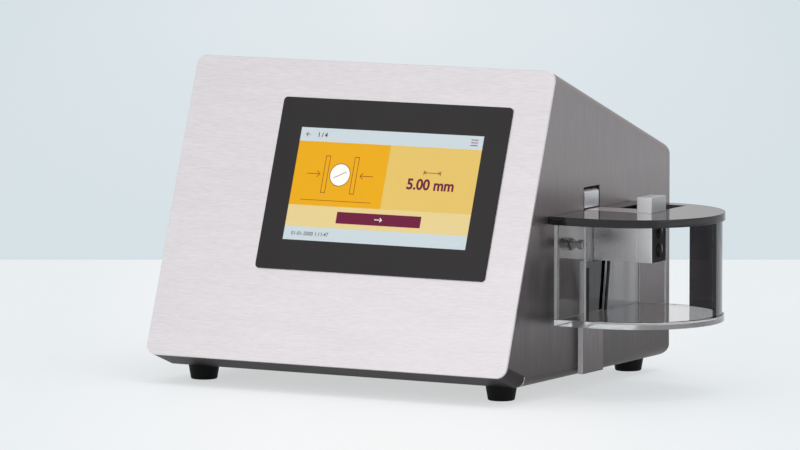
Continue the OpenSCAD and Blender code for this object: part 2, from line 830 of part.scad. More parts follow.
module tray_bottom() color(clear) {
    difference() {
        translate([0, 0, tray_z]) linear_extrude(tray_t) station_outline(tray_r, back_x);
        groove(tray_z + tray_t - groove_d, groove_d + past);
    }
}

module tray_back() color(clear) {
    z0 = tray_z + tray_t;
    slot = beam_w / 2 + back_slot_gap;
    difference() {
        translate([back_x, tray_y - tray_r, z0]) cube([wall_t, 2 * tray_r, tray_top - z0]);
        translate([back_x - past, jaw_y - slot, beam_z - back_slot_gap])
            cube([wall_t + 2 * past, 2 * slot, tray_top - beam_z + 2 * past]);
        for (y = tray_screw_spots) translate([back_x - past, y, tray_screw_z])
            rotate([0, 90, 0]) cylinder(r = tray_screw_r + run_gap, h = wall_t + 2 * past);
    }
}

module tray_side(y) color(clear) {
    translate([back_x + wall_t, y, tray_z + tray_t])
        cube([side_l, wall_t, tray_top - tray_z - tray_t]);
}
module tray_side_front() { tray_side(tray_y - tray_r); }
module tray_side_rear() { tray_side(tray_y + tray_r - wall_t); }

module edge_strip() color(black) {
    translate([back_x + wall_t + side_l - strip_t, tray_y - tray_r + wall_t, tray_z + tray_t])
        cube([strip_t, strip_w, beam_z - tray_z - tray_t]);
}

module tray_spacers() color(light_steel) {
    for (y = tray_screw_spots) translate([wall_x, y, tray_screw_z]) rotate([0, 90, 0])
        difference() {
            cylinder(r = spacer_r, h = bar_t);
            translate([0, 0, -past]) cylinder(r = tray_screw_r + run_gap, h = bar_t + 2 * past);
        }
}

// Screw with a long waisted head, turned by hand or with a hexagon key.
module tray_screw(y) color([0.62, 0.61, 0.62]) {
    translate([back_x + wall_t, y, tray_screw_z]) rotate([0, 90, 0]) difference() {
        rotate_extrude() polygon([[0, -bar_t - wall_t - 6], [tray_screw_r, -bar_t - wall_t - 6],
            [tray_screw_r, 0], [4, 0], [4, 1.2], [2.5, 1.6], [2.5, 5], [3.6, 5.4], [3.6, 9],
            [3.2, 9.4], [0, 9.4]]);
        translate([0, 0, 6.5]) cylinder(r = 1.8, h = 4, $fn = 6);
    }
}
module tray_screw_front() { tray_screw(tray_screw_spots[0]); }
module tray_screw_rear() { tray_screw(tray_screw_spots[1]); }

module lid() color(smoke) {
    slot = beam_w / 2 + lid_slot_gap;
    back = wall_x + lid_gap;
    drop_end = anvil_x + anvil_t - lid_drop_x;
    difference() {
        translate([0, 0, tray_top]) linear_extrude(lid_t) station_outline(lid_r, back);
        translate([wall_x, jaw_y - slot, tray_top - past])
            cube([anvil_x + anvil_t + lid_slot_gap - wall_x, 2 * slot, lid_t + 2 * past]);
        translate([wall_x + lid_drop_x, jaw_y, tray_top - past])
            cube([lid_drop_l, slot + lid_drop_y, lid_t + 2 * past]);
        groove(tray_top - past, groove_d + past);
    }
}

module curved_shield() color(smoke) {
    z0 = tray_z + tray_t - groove_d + groove_gap;
    z1 = tray_top + groove_d - groove_gap;
    translate([tray_x, tray_y, z0]) rotate([0, 0, shield_from])
        rotate_extrude(angle = shield_to - shield_from, $fn = 120)
            translate([shield_r - shield_t, 0]) square([shield_t, z1 - z0]);
}

// Short stiff lead that leaves the underside of the beam and ends at the bottom plate.
module sensor_lead() color(black) {
    z0 = tray_z + tray_t;
    x = back_x + wall_t + lead_r + 1;
    intersection() {
        translate([x, jaw_y + lead_y, z0]) rotate([-lead_lean, 0, 0])
            translate([0, 0, -tray_t]) cylinder(r = lead_r, h = 2 * beam_z);
        translate([x - tray_t, jaw_y - beam_w, z0]) cube([2 * tray_t, 2 * beam_w, beam_z - z0]);
    }
}

module main_board() color([0.10, 0.32, 0.18]) {
    z = deck_z + standoff_h;
    translate([board_x, board_y, z]) {
        cube([board_w, board_d, board_t]);
        for (chip = board_chips)
            translate([chip[0].x, chip[0].y, board_t - 0.1]) cube(chip[1]);
    }
}

module board_standoffs() color(light_steel) {
    for (x = [standoff_inset, board_w - standoff_inset],
        y = [standoff_inset, board_d - standoff_inset])
        translate([board_x + x, board_y + y, deck_z]) cylinder(r = standoff_r, h = standoff_h);
}

module power_supply() color([0.68, 0.69, 0.70]) {
    translate([supply_x, supply_y, deck_z]) cube([supply_w, supply_d, supply_h]);
}

module power_inlet() color(black) {
    flange = [inlet_w + 2 * inlet_flange, inlet_lip, inlet_h + 2 * inlet_flange];
    y = body_d + sheet_t;
    difference() {
        union() {
            translate([inlet_x - inlet_w / 2 + 0.3, y - inlet_d, inlet_z - inlet_h / 2 + 0.3])
                cube([inlet_w - 0.6, inlet_d + 1, inlet_h - 0.6]);
            translate([inlet_x - flange.x / 2, y, inlet_z - flange.z / 2]) cube(flange);
        }
        translate([inlet_x - inlet_socket.x / 2, y + inlet_lip - inlet_socket.z,
            inlet_z - inlet_socket.y / 2])
            cube([inlet_socket.x, inlet_socket.z + past, inlet_socket.y]);
    }
}

// Rocker switch, with its axis across the housing just inside the rear panel.
module power_rocker() color(black) {
    axis_y = body_d + rocker_proud - rocker_r;
    intersection() {
        translate([rocker_x - rocker_w / 2, axis_y, inlet_z]) rotate([0, 90, 0])
            cylinder(r = rocker_r, h = rocker_w);
        translate([rocker_x - rocker_w, axis_y - 4, inlet_z - rocker_h / 2])
            cube([2 * rocker_w, 3 * rocker_r, rocker_h]);
    }
}

module data_port() color([0.70, 0.70, 0.72]) {
    y = body_d + sheet_t;
    difference() {
        translate([port_x - port_w / 2 + 0.3, y - port_d, inlet_z - port_h / 2 + 0.3])
            cube([port_w - 0.6, port_d + 0.8, port_h - 0.6]);
        translate([port_x - port_hole.x / 2, y + 0.8 - port_hole.z, inlet_z - port_hole.y / 2])
            cube([port_hole.x, port_hole.z + past, port_hole.y]);
    }
}

place() front_panel();
place() front_frame();
place() chin_cover();
place() body_shell();
place() base_plate();
place() rear_panel();
place() foot_front_left();
place() foot_front_right();
place() foot_rear_left();
place() foot_rear_right();
place() foot_screws();
place() rear_screws();
place() display_glass();
place() screen_module();
place() screen_clamps();
place() drive_base();
place() drive_pillars();
place() motor_bracket();
place() stepper_motor();
place() motor_shaft();
place() shaft_coupling();
place() lead_screw();
place() rear_bearing_block();
place() front_bearing_block();
place() rear_bearing();
place() front_bearing();
place() guide_rod_left();
place() guide_rod_right();
place() carriage();
place() drive_nut();
place() slide_bushes();
place() load_cell();
place() moving_jaw();
place() home_switch();
place() anvil_beam();
place() anvil();
place() anvil_screws();
place() beam_screws();
place() support_bar();
place() bar_screws();
place() tray_bottom();
place() tray_back();
place() tray_side_front();
place() tray_side_rear();
place() edge_strip();
place() tray_spacers();
place() tray_screw_front();
place() tray_screw_rear();
place() lid();
place() curved_shield();
place() sensor_lead();
place() main_board();
place() board_standoffs();
place() power_supply();
place() power_inlet();
place() power_rocker();
place() data_port();
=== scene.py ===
"""Looks of a bench tablet hardness tester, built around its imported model.

The sheet metal, the screen, the tinted and clear acrylic, the ground steel of the test line,
the feet and the rear sockets each get their own pieces and finishes. All lengths are metres.
"""

import json
import math

import bmesh
import bpy
import numpy as np
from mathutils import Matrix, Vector


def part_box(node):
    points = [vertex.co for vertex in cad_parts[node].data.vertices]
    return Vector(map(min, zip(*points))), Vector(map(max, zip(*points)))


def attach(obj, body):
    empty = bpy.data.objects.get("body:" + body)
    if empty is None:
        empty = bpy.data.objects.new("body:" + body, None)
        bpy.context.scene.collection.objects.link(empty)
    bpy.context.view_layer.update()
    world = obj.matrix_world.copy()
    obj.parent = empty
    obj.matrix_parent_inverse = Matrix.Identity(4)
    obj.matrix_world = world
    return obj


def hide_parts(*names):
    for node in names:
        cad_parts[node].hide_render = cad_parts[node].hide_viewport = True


bl_info = {
    "name": "Tablet tester looks",
    "version": (1, 0, 0),
    "blender": (4, 5, 0),
    "location": "3D View > Sidebar > Tester",
    "description": "Builds the visible pieces and finishes of a bench tablet tester",
    "category": "Object",
}

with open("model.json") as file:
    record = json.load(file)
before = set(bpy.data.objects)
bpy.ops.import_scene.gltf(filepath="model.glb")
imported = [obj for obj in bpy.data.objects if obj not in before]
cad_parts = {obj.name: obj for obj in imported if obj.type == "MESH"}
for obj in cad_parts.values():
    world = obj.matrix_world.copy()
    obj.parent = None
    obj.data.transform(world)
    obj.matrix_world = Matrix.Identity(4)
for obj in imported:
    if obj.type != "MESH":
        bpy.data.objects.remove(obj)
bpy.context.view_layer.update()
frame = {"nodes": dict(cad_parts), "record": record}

MM = 0.001
GLASS_BOX = [np.array(c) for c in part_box("display_glass")]
# Name, place, width in metres and power in watts of each lamp.
SOFTBOXES = (
    ("Panel softbox", (-0.85, -2.3, 0.98), 1.5, 5.3),
    ("Top softbox", (0.3, 0.2, 2.6), 2.0, 20.0),
    ("Station softbox", (2.4, -1.0, 0.9), 0.9, 5.0),
)


class TesterSizes(bpy.types.PropertyGroup):
    """Sizes that only the looks use."""

    panel_tilt: bpy.props.FloatProperty(
        name="Panel tilt", description="Angle that the front panel leans back",
        default=math.radians(19.8), subtype="ANGLE")
    metal_edge: bpy.props.FloatProperty(
        name="Metal edge", description="Width of the eased edges of the metal parts",
        default=0.35 * MM, unit="LENGTH")
    acrylic_edge: bpy.props.FloatProperty(
        name="Acrylic edge", description="Width of the polished edges of the acrylic plates",
        default=0.4 * MM, unit="LENGTH")
    glass_t: bpy.props.FloatProperty(
        name="Glass thickness", description="Thickness of the display glass",
        default=1.4 * MM, unit="LENGTH")
    screen_w: bpy.props.FloatProperty(
        name="Screen width", description="Width of the lit area",
        default=154.2 * MM, unit="LENGTH")
    screen_h: bpy.props.FloatProperty(
        name="Screen height", description="Height of the lit area",
        default=85.9 * MM, unit="LENGTH")
    seam_r: bpy.props.FloatProperty(
        name="Seam radius", description="Radius of the bright seam at the chin's right end",
        default=5.8 * MM, unit="LENGTH")
    seam_bead: bpy.props.FloatProperty(
        name="Seam bead", description="Radius of the seam's own thickness",
        default=0.22 * MM, unit="LENGTH")
    print_step: bpy.props.FloatProperty(
        name="Print step", description="Height of one printed layer over the one below it",
        default=0.02 * MM, unit="LENGTH")


class TesterColours(bpy.types.PropertyGroup):
    """Colours of the finishes."""

    panel: bpy.props.FloatVectorProperty(
        name="Panel steel", description="Brushed steel of the front panel",
        default=(0.77, 0.742, 0.764), subtype="COLOR", size=3)
    shell: bpy.props.FloatVectorProperty(
        name="Shell steel", description="Brushed steel of the folded housing",
        default=(0.350, 0.318, 0.319), subtype="COLOR", size=3)
    ground: bpy.props.FloatVectorProperty(
        name="Ground steel", description="Ground faces of the beam, jaw and anvil",
        default=(0.86, 0.845, 0.86), subtype="COLOR", size=3)
    # Painted shade: the chin and the base get a dark colour that stands in for the shade beneath
    # the housing's front.
    chin: bpy.props.FloatVectorProperty(
        name="Chin paint", description="Dark satin paint of the chin and the base",
        default=(0.0185, 0.0145, 0.0158), subtype="COLOR", size=3)
    rubber: bpy.props.FloatVectorProperty(
        name="Rubber", description="Black rubber of the feet",
        default=(0.005, 0.005, 0.005), subtype="COLOR", size=3)
    glass_border: bpy.props.FloatVectorProperty(
        name="Glass border", description="Black print behind the display glass",
        default=(0.0062, 0.0040, 0.0046), subtype="COLOR", size=3)
    smoke: bpy.props.FloatVectorProperty(
        name="Smoke acrylic", description="Tint of the lid and the shield",
        default=(0.035, 0.031, 0.032), subtype="COLOR", size=3)
    clear: bpy.props.FloatVectorProperty(
        name="Clear acrylic", description="Tint of the clear plates",
        default=(0.97, 0.965, 0.966), subtype="COLOR", size=3)
    bar_blue: bpy.props.FloatVectorProperty(
        name="Bar blue", description="Pale blue of the screen's top and bottom bars",
        default=(0.62, 0.71, 0.74), subtype="COLOR", size=3)
    orange: bpy.props.FloatVectorProperty(
        name="Picture orange", description="Orange of the screen's picture block",
        default=(0.80, 0.40, 0.012), subtype="COLOR", size=3)
    yellow: bpy.props.FloatVectorProperty(
        name="Reading yellow", description="Yellow behind the reading",
        default=(0.81, 0.57, 0.155), subtype="COLOR", size=3)
    cream: bpy.props.FloatVectorProperty(
        name="Band cream", description="Cream of the band that holds the button",
        default=(0.83, 0.66, 0.30), subtype="COLOR", size=3)
    maroon: bpy.props.FloatVectorProperty(
        name="Maroon", description="Maroon of the button and the reading",
        default=(0.165, 0.017, 0.052), subtype="COLOR", size=3)


class TesterStage(bpy.types.PropertyGroup):
    """Camera, floor and lights."""

    focal: bpy.props.FloatProperty(
        name="Focal length", description="Focal length in millimetres on a 36 mm sensor",
        default=327.5, unit="CAMERA")
    eye: bpy.props.FloatVectorProperty(
        name="Camera place", description="Place of the camera",
        default=(2.6042, -4.7177, 0.6903), subtype="TRANSLATION", size=3)
    down: bpy.props.FloatProperty(
        name="Camera down", description="Angle that the camera looks down",
        default=math.radians(6.08), subtype="ANGLE")
    around: bpy.props.FloatProperty(
        name="Camera around", description="Angle of the camera round the object",
        default=math.radians(29.46), subtype="ANGLE")
    floor_end: bpy.props.FloatProperty(
        name="Floor end", description="Distance from the camera where the backdrop starts",
        default=6.20, unit="LENGTH")
    # Painted light: the floor's middle and the backdrop's glow are lighter than their edges, as
    # a pool of light.
    floor_near: bpy.props.FloatVectorProperty(
        name="Floor middle", description="Colour of the floor round the object",
        default=(0.955, 0.970, 0.975), subtype="COLOR", size=3)
    floor_far: bpy.props.FloatVectorProperty(
        name="Floor edge", description="Colour of the floor towards the sides",
        default=(0.86, 0.905, 0.925), subtype="COLOR", size=3)
    backdrop: bpy.props.FloatVectorProperty(
        name="Backdrop", description="Colour of the backdrop",
        default=(0.675, 0.755, 0.80), subtype="COLOR", size=3)
    backdrop_light: bpy.props.FloatVectorProperty(
        name="Backdrop glow", description="Colour of the backdrop's lighter middle",
        default=(0.78, 0.83, 0.85), subtype="COLOR", size=3)
    room_light: bpy.props.FloatVectorProperty(
        name="Room light", description="Even light from all round",
        default=(0.68, 0.672, 0.68), subtype="COLOR", size=3)
    aim: bpy.props.FloatVectorProperty(
        name="Lamp aim", description="Place that the softboxes face",
        default=(0, 0, 0.12), subtype="TRANSLATION", size=3)


def sizes():
    return bpy.context.scene.tester_sizes


def colours():
    return bpy.context.scene.tester_colours


class Value:
    """One socket of a material's nodes, so that shader maths reads as arithmetic."""

    def __init__(self, nodes, socket):
        self.nodes = nodes
        self.socket = socket

    def __add__(self, other):
        return self.nodes.maths("ADD", self, other)

    def __radd__(self, other):
        return self.nodes.maths("ADD", other, self)

    def __sub__(self, other):
        return self.nodes.maths("SUBTRACT", self, other)

    def __rsub__(self, other):
        return self.nodes.maths("SUBTRACT", other, self)

    def __mul__(self, other):
        return self.nodes.maths("MULTIPLY", self, other)

    def __rmul__(self, other):
        return self.nodes.maths("MULTIPLY", other, self)

    def __truediv__(self, other):
        return self.nodes.maths("DIVIDE", self, other)

    def __gt__(self, other):
        return self.nodes.maths("GREATER_THAN", self, other)

    def clamped(self):
        return self.nodes.make("ShaderNodeClamp", {}, (self,))


class Nodes:
    """The nodes of a material or of the world, cleared at the start."""

    def __init__(self, owner):
        owner.use_nodes = True
        self.tree = owner.node_tree
        self.tree.nodes.clear()

    def set(self, socket, value):
        if isinstance(value, Value):
            self.tree.links.new(value.socket, socket)
        elif hasattr(value, "__len__") and len(socket.default_value) == len(value) + 1:
            socket.default_value = (*value, 1)
        else:
            socket.default_value = value

    def make(self, kind, settings, inputs, output=0):
        """Adds a node: its settings first, then its inputs by number or by name."""
        node = self.tree.nodes.new(kind)
        for key, value in settings.items():
            setattr(node, key, value)
        pairs = inputs.items() if isinstance(inputs, dict) else enumerate(inputs)
        for key, value in pairs:
            self.set(node.inputs[key], value)
        return Value(self, node.outputs[output]) if node.outputs else node

    def maths(self, operation, *values):
        return self.make("ShaderNodeMath", {"operation": operation}, values)

    def vectors(self, operation, first, second, output=0):
        return self.make("ShaderNodeVectorMath", {"operation": operation}, (first, second),
                         output)


class Finish(Nodes):
    """One material with a Principled surface.

    What is the same all over it is given with its name, and what varies is fed at the end."""

    def __init__(self, name, **fixed):
        self.material = bpy.data.materials.new(name)
        super().__init__(self.material)
        self.fixed = fixed

    def place(self):
        return self.make("ShaderNodeTexCoord", {}, (), "Object")

    def stretched(self, per_metre):
        """Object place, scaled by its own number of repeats per metre along X, Y and Z."""
        return self.vectors("MULTIPLY", self.place(), per_metre)

    def noise(self, per_metre, detail=2.0, roughness=0.5):
        return self.make("ShaderNodeTexNoise", {}, {
            "Vector": self.stretched(per_metre), "Scale": 1.0, "Detail": detail,
            "Roughness": roughness})

    def height(self):
        return self.make("ShaderNodeSeparateXYZ", {}, (self.place(),), "Z")

    def mix(self, factor, first, second):
        return self.make("ShaderNodeMix", {"data_type": "RGBA"},
                         {0: factor, 6: first, 7: second}, 2)

    def bump(self, height, depth):
        return self.make("ShaderNodeBump", {}, {
            "Height": height, "Strength": 1.0, "Distance": depth})

    def surface(self, **varying):
        inputs = {**self.fixed, **varying}
        return self.make("ShaderNodeBsdfPrincipled", {}, {
            key.replace("_", " "): value for key, value in inputs.items()})

    def done(self, surface):
        self.make("ShaderNodeOutputMaterial", {}, {"Surface": surface})
        return self.material

    def feed(self, **varying):
        return self.done(self.surface(**varying))


def shade(colour, k):
    return tuple(min(1.0, c * k) for c in colour)


def brushed_metal(name, colour, along, rough=0.36, contrast=0.09, coarse=0.05):
    """Metal brushed in one direction: fine streaks, broader bands and faint cloudy stains.

    along is the number of repeats per metre along X, Y and Z, low where the streaks run."""
    f = Finish(name, Metallic=1.0)
    streaks = f.noise(along, 3.0, 0.65)
    bands = f.noise(tuple(a * 0.12 for a in along), 2.0)
    clouds = f.noise((14, 14, 14), 2.0)
    tone = (streaks - 0.5) * contrast * 4 + (bands - 0.5) * contrast + (clouds - 0.5) * coarse
    mixed = f.mix((tone + 0.5).clamped(), shade(colour, 0.80), shade(colour, 1.20))
    return f.feed(Base_Color=mixed, Roughness=rough + (streaks - 0.5) * 0.16,
                  Normal=f.bump(streaks, 0.004 * MM))


def folded_metal(name, colour, fine=1300.0, long=45.0):
    """Brushed sheet folded round the housing, with painted shade that darkens it towards its
    foot.

    The streaks run up its sides and across its top, so there are two sets, and the face's own
    direction picks one."""
    f = Finish(name, Metallic=1.0)
    painted_shade_height = 0.16
    facing = f.make("ShaderNodeSeparateXYZ", {}, (
        f.make("ShaderNodeNewGeometry", {}, (), "Normal"),), "X")
    sideways = f.maths("ABSOLUTE", facing) > 0.7
    side = f.noise((fine, fine, long), 3.0, 0.65)
    over = f.noise((long, fine, fine), 3.0, 0.65)
    streaks = side * sideways + over * (1 - sideways)
    clouds = f.noise((9, 9, 9), 2.0)
    # Painted shade: the colour darkens over the lowest 0.16 m, standing in for the shade near
    # the floor.
    low = (1 - f.height() / painted_shade_height).clamped()
    tone = (streaks - 0.5) * 0.36 + (clouds - 0.5) * 0.10 - low * 0.60
    mixed = f.mix((tone + 0.5).clamped(), shade(colour, 0.30), shade(colour, 1.70))
    return f.feed(Base_Color=mixed, Roughness=0.38 + (streaks - 0.5) * 0.18,
                  Normal=f.bump(streaks, 0.004 * MM))


def ground_metal(name, colour, rough=0.30):
    """Ground or milled steel: short crossing scratches with a soft sheen."""
    return brushed_metal(name, colour, (160, 2400, 2400), rough, 0.06, 0.08)


def turned_metal(name, colour, rough=0.26):
    """Bright turned metal with fine marks in every direction."""
    f = Finish(name, Metallic=1.0)
    marks = f.noise((1500, 1500, 1500), 3.0)
    mixed = f.mix(marks, shade(colour, 0.82), shade(colour, 1.12))
    return f.feed(Base_Color=mixed, Roughness=rough + (marks - 0.5) * 0.14,
                  Normal=f.bump(marks, 0.003 * MM))


def painted(name, colour, rough=0.42, grain=1400.0, depth=0.012, shine=0.5):
    """Paint or moulded plastic: an even skin with a fine pebbled grain and slight cloudiness."""
    f = Finish(name, Specular_IOR_Level=shine)
    pebbles = f.noise((grain, grain, grain), 2.0)
    clouds = f.noise((40, 40, 40), 2.0)
    mixed = f.mix((clouds * 0.6 + pebbles * 0.4), shade(colour, 0.85), shade(colour, 1.15))
    return f.feed(Base_Color=mixed, Roughness=rough + (clouds - 0.5) * 0.12,
                  Normal=f.bump(pebbles, depth * MM))


def acrylic(name, colour, rough=0.012, transmission=1.0):
    """Polished acrylic, with faint wipe marks in its gloss and its tint."""
    f = Finish(name, Transmission_Weight=transmission, IOR=1.49)
    wipes = f.noise((30, 30, 160), 3.0)
    mixed = f.mix(wipes, shade(colour, 0.97), shade(colour, 1.03))
    return f.feed(Base_Color=mixed, Roughness=rough + wipes * 0.02)


def lit_print(name, colour, glow=0.10):
    """One colour of the screen: its own light plus the gloss of the glass over it."""
    f = Finish(name, Specular_IOR_Level=0.08, Emission_Strength=glow)
    rows = f.noise((900, 900, 2400), 1.0)
    clouds = f.noise((12, 12, 12), 1.0)
    mixed = f.mix(clouds * 0.7 + rows * 0.3, shade(colour, 0.96), shade(colour, 1.04))
    return f.feed(Base_Color=mixed, Emission_Color=mixed, Roughness=0.35 + (clouds - 0.5) * 0.1)


def put_on(piece, material):
    if len(piece.material_slots):
        for s in piece.material_slots:
            s.material = material
    else:
        piece.data.materials.append(material)


def add_object(name, data):
    obj = bpy.data.objects.new(name, data)
    bpy.context.scene.collection.objects.link(obj)
    return obj


def new_mesh(name, points, faces, material, smooth=True):
    """Makes an object at the origin from an array of points and a list of faces."""
    mesh = bpy.data.meshes.new(name)
    mesh.from_pydata(np.asarray(points, dtype=float).tolist(), [], faces)
    mesh.update()
    mesh.polygons.foreach_set("use_smooth", np.full(len(mesh.polygons), smooth))
    obj = add_object(name, mesh)
    put_on(obj, material)
    return obj


def merged(obj):
    """Merges points that share a place, as at a pole, and turns the faces outwards."""
    bm = bmesh.new()
    bm.from_mesh(obj.data)
    bmesh.ops.remove_doubles(bm, verts=bm.verts, dist=1e-7)
    bmesh.ops.recalc_face_normals(bm, faces=bm.faces)
    bm.to_mesh(obj.data)
    bm.free()
    return obj


def grid_faces(rows, cols, wrap):
    """Quads between rows of points, closed round each row where wrap is set."""
    i = np.arange(rows - 1)[:, None] * cols
    j = np.arange(cols if wrap else cols - 1)[None, :]
    k = (j + 1) % cols
    quads = np.stack([i + j, i + k, i + cols + k, i + cols + j], axis=-1)
    return quads.reshape(-1, 4).tolist()


def revolved(name, profile, centre, material, sides=96):
    """Turns a profile of radius r and height h, in millimetres, about an upright line.

    Point (i, j) = centre + r[i] cos(a[j]) x + r[i] sin(a[j]) y + h[i] z."""
    r, h = np.asarray(profile, dtype=float).T * MM
    a = np.linspace(0, 2 * np.pi, sides, endpoint=False)
    points = np.stack([np.outer(r, np.cos(a)), np.outer(r, np.sin(a)),
                       np.repeat(h[:, None], sides, 1)], axis=-1).reshape(-1, 3)
    obj = merged(new_mesh(name, points + np.asarray(centre), grid_faces(len(r), sides, True),
                          material))
    obj.data.set_sharp_from_angle(angle=math.radians(40))
    return obj


def seam_bead(name, centre, radius, bead, material):
    """Bright quarter-round seam, a painted highlight for the glint along it, that stands in a
    plane across X, below and behind its centre.

    Point (i, j) = centre + (radius + bead sin(b[j])) (cos(a[i]) y + sin(a[i]) z)
    + bead cos(b[j]) x, with a from 0 to -90 degrees."""
    rings, sides = 25, 12
    a = np.radians(np.linspace(0, -90, rings))[:, None]
    b = np.linspace(0, 2 * np.pi, sides, endpoint=False)[None, :]
    reach = radius + bead * np.sin(b)
    points = np.stack([np.broadcast_to(bead * np.cos(b), (rings, sides)), reach * np.cos(a),
                       reach * np.sin(a)], axis=-1).reshape(-1, 3) + np.asarray(centre)
    ends = [list(range(k, k + sides)) for k in (0, (rings - 1) * sides)]
    faces = grid_faces(rings, sides, True) + ends
    return carry(merged(new_mesh(name, points, faces, material)), "housing", "screw_steel")


def eased_copy(name, node, width, material, body="housing"):
    """Copy of a solid with its points merged, its flat faces joined and its edges rounded."""
    same_point, same_plane, least_corner = 2e-6, math.radians(0.4), math.radians(28)
    bm = bmesh.new()
    bm.from_mesh(frame["nodes"][node].data)
    bmesh.ops.remove_doubles(bm, verts=bm.verts, dist=same_point)
    bmesh.ops.dissolve_limit(bm, angle_limit=same_plane, verts=bm.verts, edges=bm.edges)
    edges = [e for e in bm.edges
             if len(e.link_faces) == 2 and e.calc_face_angle() > least_corner]
    bmesh.ops.bevel(bm, geom=edges, offset=width, offset_type="OFFSET", segments=2,
                    profile=0.5, affect="EDGES", clamp_overlap=True)
    mesh = bpy.data.meshes.new(name)
    bm.to_mesh(mesh)
    bm.free()
    mesh.polygons.foreach_set("use_smooth", np.full(len(mesh.polygons), True))
    mesh.set_sharp_from_angle(angle=math.radians(50))
    obj = add_object(name, mesh)
    put_on(obj, material)
    even = obj.modifiers.new("Even gloss", "WEIGHTED_NORMAL")
    even.keep_sharp = True
    carry(obj, body, slot_of(node))
    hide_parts(node)
    return obj


def facing(obj, direction):
    """How far each face looks along a direction: 1 along it, 0 across it, -1 against it."""
    normals = np.empty(len(obj.data.polygons) * 3)
    obj.data.polygons.foreach_get("normal", normals)
    return normals.reshape(-1, 3) @ np.asarray(direction, dtype=float)


def second_finish(obj, chosen, material):
    """Gives the chosen faces the piece's second finish."""
    obj.data.materials.append(material)
    obj.data.polygons.foreach_set("material_index", np.where(chosen, 1, 0))
    obj.data.update()


def face_finish(obj, direction, material):
    """Gives the faces that look along a direction their own finish."""
    second_finish(obj, facing(obj, direction) > 0.7, material)


def rim_finish(obj, normal, material):
    """Gives the rim of a plate its own finish: the faces that look across its normal."""
    second_finish(obj, np.abs(facing(obj, normal)) < 0.5, material)


def slot_of(node):
    return next(s["material_slot"] for s in frame["record"]["subparts"] if s["node"] == node)


def carry(obj, body, slot):
    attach(obj, body)
    return obj


def panel_axes():
    """Right, up the slope, and outwards from the front panel, as rows of a matrix."""
    t = sizes().panel_tilt
    return np.array([[1, 0, 0], [0, math.sin(t), math.cos(t)], [0, -math.cos(t), math.sin(t)]])


def on_glass(flat, lift):
    """Places flat points in millimetres from the glass's middle, lifted off its face.

    Point = middle + x right + y up the slope, with middle lift above the glass."""
    flat = np.asarray(flat, dtype=float) * MM
    axes = panel_axes()
    middle = (GLASS_BOX[0] + GLASS_BOX[1]) / 2 + axes[2] * (sizes().glass_t / 2 + lift)
    return middle + flat[:, :1] * axes[0] + flat[:, 1:2] * axes[1]


def rectangle(x0, y0, x1, y1):
    return [(x0, y0), (x1, y0), (x1, y1), (x0, y1)]


def arc(cx, cy, r, start, stop, n):
    """Points at the distance r from (cx, cy), at even steps between two angles in degrees."""
    a = np.radians(np.linspace(start, stop, n))
    return np.stack([cx + r * np.cos(a), cy + r * np.sin(a)], axis=-1)


def round_rect(x0, y0, x1, y1, r, n=8):
    """Outline of a rectangle with round corners, against the clock."""
    return np.concatenate([arc(x1 - r, y1 - r, r, 0, 90, n), arc(x0 + r, y1 - r, r, 90, 180, n),
                           arc(x0 + r, y0 + r, r, 180, 270, n),
                           arc(x1 - r, y0 + r, r, 270, 360, n)])


def stroke(points, width, closed=False):
    """Both sides of a line of the given width.

    A point moves half the width square to the mitre, which is the sum of the directions before
    and after it, scaled so that its part along either one is 1."""
    p = np.asarray(points, dtype=float)
    if closed:
        ahead = np.roll(p, -1, 0) - p
        behind = p - np.roll(p, 1, 0)
    else:
        ahead = np.vstack([p[1:] - p[:-1], p[-1:] - p[-2:-1]])
        behind = np.vstack([p[1:2] - p[:1], p[1:] - p[:-1]])
    ahead = ahead / np.linalg.norm(ahead, axis=1)[:, None]
    behind = behind / np.linalg.norm(behind, axis=1)[:, None]
    mitre = ahead + behind
    mitre = mitre / np.maximum(1e-9, (mitre * ahead).sum(1))[:, None]
    aside = np.stack([-mitre[:, 1], mitre[:, 0]], axis=-1) * width / 2
    return p + aside, p - aside


class Ink:
    """Collects flat shapes of one colour, and makes one thin printed piece of them."""

    def __init__(self, name, layer, material):
        self.name = name
        self.layer = layer
        self.material = material
        self.points = []
        self.faces = []

    def shape(self, outline):
        start = sum(len(p) for p in self.points)
        self.points.append(np.asarray(outline, dtype=float))
        self.faces.append(list(range(start, start + len(outline))))
        return self

    def line(self, points, width, closed=False):
        left, right = stroke(points, width, closed)
        n = len(left)
        start = sum(len(p) for p in self.points)
        self.points += [left, right]
        for i in range(n if closed else n - 1):
            j = (i + 1) % n
            self.faces.append([start + i, start + n + i, start + n + j, start + j])
        return self

    def head(self, tip, way, long, half, width):
        """Open arrow head that points right where way is 1, and left where it is -1."""
        x, y = tip
        back = x - way * long
        return self.line([(back, y + half), (x, y), (back, y - half)], width)

    def done(self):
        lift = self.layer * sizes().print_step
        obj = new_mesh(self.name, on_glass(np.concatenate(self.points), lift), self.faces,
                       self.material, False)
        return carry(obj, "housing", "screen")


def digits(name, text, height, centre, layer, material, bold=0.03):
    """Plain numbers as a flat mesh, made from the built-in letter shapes."""
    curve = bpy.data.curves.new(name, "FONT")
    curve.body = text
    curve.size = 1.0
    curve.offset = bold
    curve.resolution_u = 6
    source = add_object(name, curve)
    flat = bpy.data.meshes.new_from_object(source.evaluated_get(
        bpy.context.evaluated_depsgraph_get()))
    bpy.data.objects.remove(source)
    xyz = np.empty(len(flat.vertices) * 3)
    flat.vertices.foreach_get("co", xyz)
    xy = xyz.reshape(-1, 3)[:, :2]
    faces = [list(p.vertices) for p in flat.polygons]
    low, high = xy.min(0), xy.max(0)
    xy = (xy - (low + high) / 2) * height / (high[1] - low[1]) + np.asarray(centre)
    bpy.data.meshes.remove(flat)
    obj = new_mesh(name, on_glass(xy, layer * sizes().print_step), faces, material, False)
    return carry(obj, "housing", "screen")


